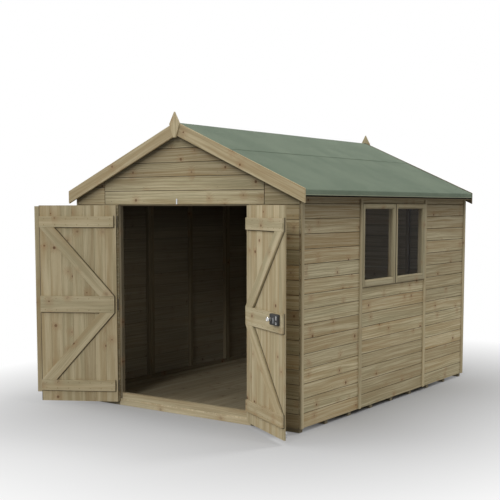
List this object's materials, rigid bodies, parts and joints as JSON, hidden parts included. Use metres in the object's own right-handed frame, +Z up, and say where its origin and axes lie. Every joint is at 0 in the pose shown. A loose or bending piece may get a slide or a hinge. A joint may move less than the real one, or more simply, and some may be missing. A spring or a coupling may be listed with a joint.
{
  "type": "garden shed",
  "caption": "Timber garden shed with boarded walls on studs, a felted apex roof, a pair of ledged and braced doors that swing outward and a pair of fixed side windows; it stores tools",
  "frame": {"origin": "on the ground at the middle of the footprint, level with the undersides of the floor bearers", "axes": "X to the right seen from the front, Y from the front wall with the doors to the rear wall, Z up"},
  "size_m": [2.6818, 3.6546, 2.5598],
  "materials": {
    "treated_timber": "pressure-treated softwood, planed, greenish tan, knotty, dull",
    "framing_timber": "treated sawn softwood, dull",
    "floor_timber": "planed softwood floor boards, dull",
    "roof_sheathing": "bare roof boards, dull",
    "roof_felt": "bitumen felt with green mineral chippings, matt and gritty",
    "glazing": "clear glazing, smooth",
    "zinc_steel": "zinc-plated steel, satin",
    "dark_metal": "dark grey lacquer, semi-matt"
  },
  "bodies": {
    "shed": {"floor_bearers": "framing_timber", "floor_boards": "floor_timber", "door_sill": "treated_timber", "front_wall_left": "treated_timber", "front_wall_right": "treated_timber", "front_gable": "treated_timber", "front_studs": "framing_timber", "door_head_rail": "framing_timber", "left_wall": "treated_timber", "left_studs": "framing_timber", "right_wall": "treated_timber", "right_studs": "framing_timber", "window_noggins": "framing_timber", "rear_wall_left": "treated_timber", "rear_wall_right": "treated_timber", "rear_studs": "framing_timber", "sole_plates": "framing_timber", "top_plates": "framing_timber", "gable_rails": "framing_timber", "left_cover_strips": "treated_timber", "right_cover_strips": "treated_timber", "rear_cover_strip": "treated_timber", "window_stiles": "treated_timber", "window_rails": "treated_timber", "window_panes": "glazing", "roof_purlins": "framing_timber", "roof_board_left": "roof_sheathing", "roof_board_right": "roof_sheathing", "eaves_battens": "framing_timber", "gable_battens": "framing_timber", "felt_left": "roof_felt", "felt_right": "roof_felt", "felt_ridge": "roof_felt", "front_bargeboards": "treated_timber", "rear_bargeboards": "treated_timber", "finials": "treated_timber", "hinge_plates": "dark_metal", "bolt_keep": "zinc_steel"},
    "left_door": {"left_door_boards": "treated_timber", "left_door_ledges": "treated_timber", "left_door_braces": "treated_timber", "left_door_straps": "dark_metal", "left_door_meeting_strip": "treated_timber"},
    "right_door": {"right_door_boards": "treated_timber", "right_door_ledges": "treated_timber", "right_door_braces": "treated_timber", "right_door_straps": "dark_metal", "rim_lock_case": "dark_metal", "rim_lock_knob": "zinc_steel", "foot_bolt": "zinc_steel"}
  },
  "joints": [
    {"name": "left_door_hinge", "type": "hinge", "parent": "shed", "child": "left_door", "pos_m": [-0.708, -1.598, 0.9], "axis": [0, 0, -1], "range_deg": [-150.5, 19.5]},
    {"name": "right_door_hinge", "type": "hinge", "parent": "shed", "child": "right_door", "pos_m": [0.708, -1.598, 0.9], "axis": [0, 0, 1], "range_deg": [-149, 21]}
  ]
}
